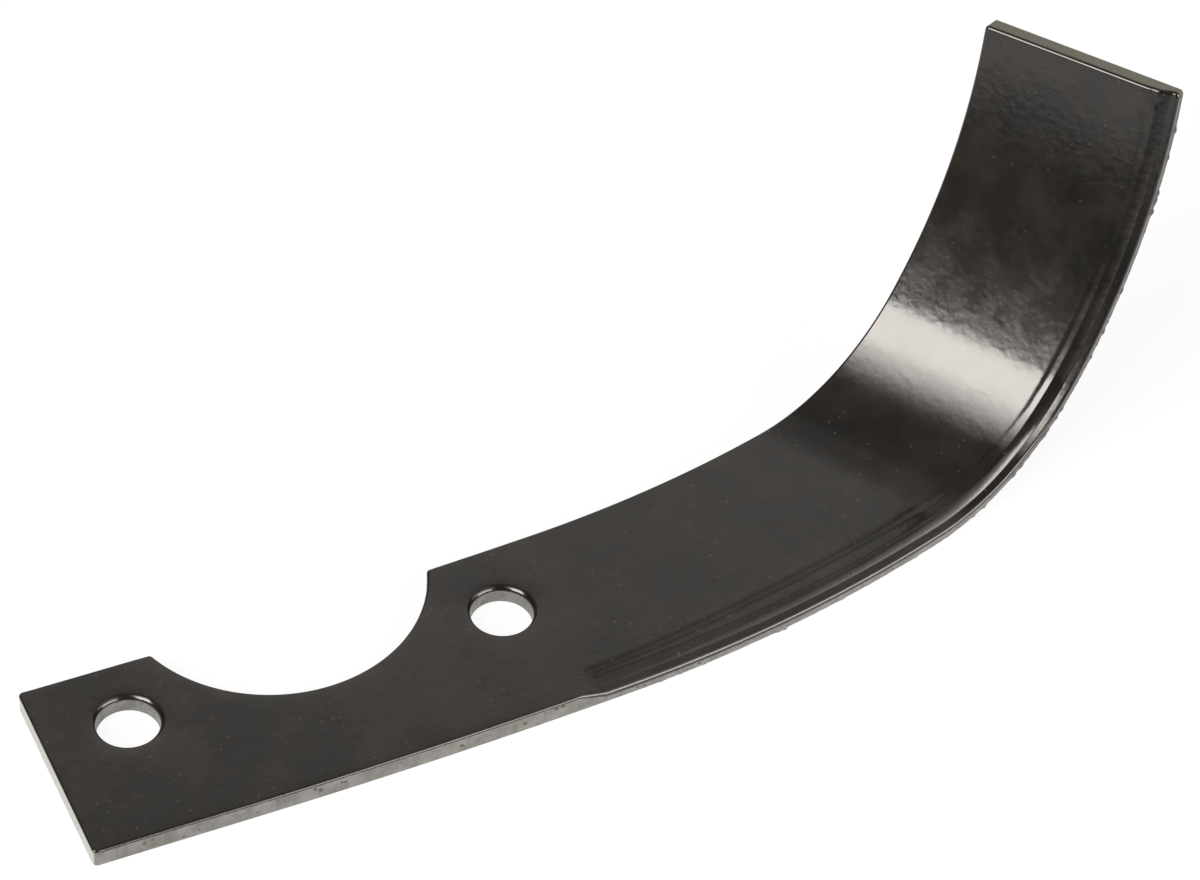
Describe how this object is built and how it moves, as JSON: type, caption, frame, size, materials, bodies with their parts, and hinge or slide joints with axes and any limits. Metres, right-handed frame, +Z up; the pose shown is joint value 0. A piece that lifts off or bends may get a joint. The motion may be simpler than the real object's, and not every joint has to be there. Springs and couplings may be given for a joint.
{
  "type": "rotary tiller blade",
  "caption": "Flat-bar rotary tiller blade with a two-bolt mounting end, a round hub notch, a scimitar sweep, an oblique bend and a bevelled outer edge.",
  "frame": {"origin": "midway between the two bolt holes, on the seat face (the underside of the flat mounting end)", "axes": "+X along the flat bar from the mounting end towards the tip, +Y towards the notched back edge, +Z up through the bar, away from the seat, the way the tip is bent"},
  "size_m": [0.2275, 0.0712, 0.0773],
  "materials": {
    "blade_finish": "satin black paint over forged steel"
  },
  "bodies": {
    "root": {"tine_blade": "blade_finish"}
  },
  "joints": []
}
